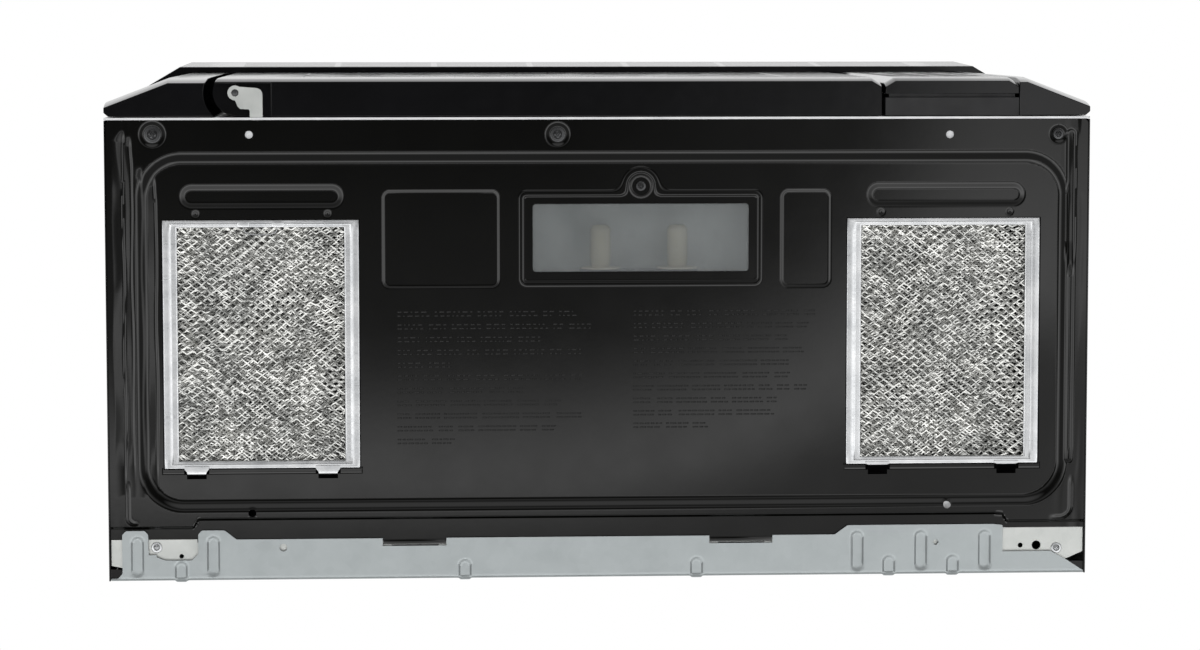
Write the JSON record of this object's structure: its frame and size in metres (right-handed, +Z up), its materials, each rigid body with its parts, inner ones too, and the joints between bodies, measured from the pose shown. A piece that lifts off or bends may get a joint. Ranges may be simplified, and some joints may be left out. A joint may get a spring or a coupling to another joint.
{
  "type": "over the range microwave",
  "caption": "Over the range microwave oven with a side-hinged door, underside grease filters and lamp, wall flange, turntable and exhaust blower.",
  "frame": {"origin": "under the middle of the case, on the plane of the base pan's rim", "axes": "+X to the right of someone facing the door, +Y to the wall behind, +Z up"},
  "size_m": [0.759, 0.396, 0.417],
  "materials": {
    "black_enamel": "gloss black baked enamel on pressed sheet",
    "zinc_sheet": "galvanised sheet, soft spangle",
    "zinc_layer": "bright galvanised sheet",
    "light_frame": "light coated sheet",
    "filter_aluminium": "mill finish aluminium",
    "filter_mesh": "expanded aluminium mesh",
    "fascia_black": "gloss black moulded plastic",
    "matt_black": "fine textured black plastic",
    "grommet_rubber": "moulded black rubber",
    "door_glass": "tinted safety glass",
    "frosted_lens": "frosted glass",
    "lamp_glass": "opal lamp glass",
    "tray_glass": "clear tempered glass",
    "cavity_enamel": "light grey enamel",
    "light_plastic": "natural moulded plastic",
    "lamination_steel": "varnished steel laminations and windings",
    "capacitor_can": "drawn aluminium can",
    "circuit_board": "coated circuit board",
    "screw_zinc": "zinc plated screw"
  },
  "bodies": {
    "chassis": {"base_pan": "black_enamel", "pan_screw_left": "screw_zinc", "pan_screw_centre": "screw_zinc", "pan_screw_right": "screw_zinc", "lamp_screw": "screw_zinc", "flange_screw_left": "screw_zinc", "flange_screw_right": "screw_zinc", "rear_panel": "zinc_sheet", "rear_rail": "zinc_layer", "outer_case": "black_enamel", "cord_grommet": "grommet_rubber", "front_frame": "light_frame", "hinge_bracket_lower": "zinc_layer", "hinge_bracket_upper": "zinc_layer", "latch_body": "light_plastic", "left_end_cap": "fascia_black", "right_end_cap": "fascia_black", "top_grille": "fascia_black", "control_panel": "fascia_black", "keypad_membrane": "matt_black", "display_window": "door_glass", "control_housing": "matt_black", "control_board": "circuit_board", "lamp_cover": "black_enamel", "lamp_lens": "frosted_lens", "lamp_housing": "zinc_layer", "lamp_socket_bar": "light_plastic", "lamp_bulb_left": "lamp_glass", "lamp_bulb_right": "lamp_glass", "oven_cavity": "cavity_enamel", "turntable_motor": "zinc_sheet", "equipment_shelf": "zinc_sheet", "waveguide": "zinc_layer", "magnetron": "lamination_steel", "transformer": "lamination_steel", "capacitor": "capacitor_can", "fan_bracket": "zinc_sheet", "fan_motor": "lamination_steel", "blower_housing": "zinc_sheet", "blower_motor": "lamination_steel"},
    "door": {"door_frame": "fascia_black", "door_glass": "door_glass", "door_choke_panel": "cavity_enamel"},
    "hooks": {"latch_hooks": "light_plastic"},
    "open_button": {"door_open_button": "fascia_black"},
    "lever": {"open_lever": "light_plastic"},
    "filter_left": {"filter_frame_left": "filter_aluminium", "filter_mesh_left": "filter_mesh"},
    "filter_right": {"filter_frame_right": "filter_aluminium", "filter_mesh_right": "filter_mesh"},
    "turntable": {"turntable_coupler": "light_plastic", "glass_tray": "tray_glass"},
    "tray_ring": {"roller_ring": "light_plastic"},
    "ring_roller_1": {"roller_1": "light_plastic"},
    "ring_roller_2": {"roller_2": "light_plastic"},
    "ring_roller_3": {"roller_3": "light_plastic"},
    "cooling_fan": {"fan_blade": "matt_black"},
    "blower_rotor": {"blower_wheel_left": "matt_black", "blower_wheel_right": "matt_black"}
  },
  "joints": [
    {"name": "door_hinge", "type": "hinge", "parent": "chassis", "child": "door", "pos_m": [-0.2796, -0.1789, 0.17], "axis": [0, 0, -1], "range_deg": [0, 110]},
    {"name": "hook_lift", "type": "slide", "parent": "door", "child": "hooks", "axis": [0, 0, 1], "range_m": [0, 0.005], "stiffness_N_per_m": 300},
    {"name": "button_press", "type": "slide", "parent": "chassis", "child": "open_button", "axis": [0, 1, 0], "range_m": [0, 0.004], "stiffness_N_per_m": 500},
    {"name": "lever_turn", "type": "hinge", "parent": "chassis", "child": "lever", "pos_m": [0.272, -0.1696, 0.062], "axis": [1, 0, 0], "range_deg": [0, 7]},
    {"name": "filter_left_slide", "type": "slide", "parent": "chassis", "child": "filter_left", "axis": [0, 1, 0], "range_m": [0, 0.003]},
    {"name": "filter_right_slide", "type": "slide", "parent": "chassis", "child": "filter_right", "axis": [0, 1, 0], "range_m": [0, 0.003]},
    {"name": "turntable_spin", "type": "hinge", "parent": "chassis", "child": "turntable", "pos_m": [-0.038, 0.0021, 0.09], "axis": [0, 0, 1], "continuous": true},
    {"name": "ring_spin", "type": "hinge", "parent": "chassis", "child": "tray_ring", "pos_m": [-0.038, 0.0021, 0.09], "axis": [0, 0, 1], "continuous": true},
    {"name": "roller_1_spin", "type": "hinge", "parent": "tray_ring", "child": "ring_roller_1", "pos_m": [0.06, 0.0021, 0.0933], "axis": [1, 0, 0], "continuous": true},
    {"name": "roller_2_spin", "type": "hinge", "parent": "tray_ring", "child": "ring_roller_2", "pos_m": [-0.087, 0.08697, 0.0933], "axis": [-0.5, 0.866, 0], "continuous": true},
    {"name": "roller_3_spin", "type": "hinge", "parent": "tray_ring", "child": "ring_roller_3", "pos_m": [-0.087, -0.08277, 0.0933], "axis": [-0.5, -0.866, 0], "continuous": true},
    {"name": "fan_spin", "type": "hinge", "parent": "chassis", "child": "cooling_fan", "pos_m": [0.28, 0.134, 0.185], "axis": [0, 1, 0], "continuous": true},
    {"name": "blower_spin", "type": "hinge", "parent": "chassis", "child": "blower_rotor", "pos_m": [-0.038, 0.122, 0.3673], "axis": [1, 0, 0], "continuous": true}
  ],
  "couplings": [
    {"joint": "lever_turn", "follows": "button_press", "rad_per_m": 29.412},
    {"joint": "ring_spin", "follows": "turntable_spin", "ratio": 0.5},
    {"joint": "roller_1_spin", "follows": "turntable_spin", "ratio": -7},
    {"joint": "roller_2_spin", "follows": "turntable_spin", "ratio": -7},
    {"joint": "roller_3_spin", "follows": "turntable_spin", "ratio": -7}
  ]
}
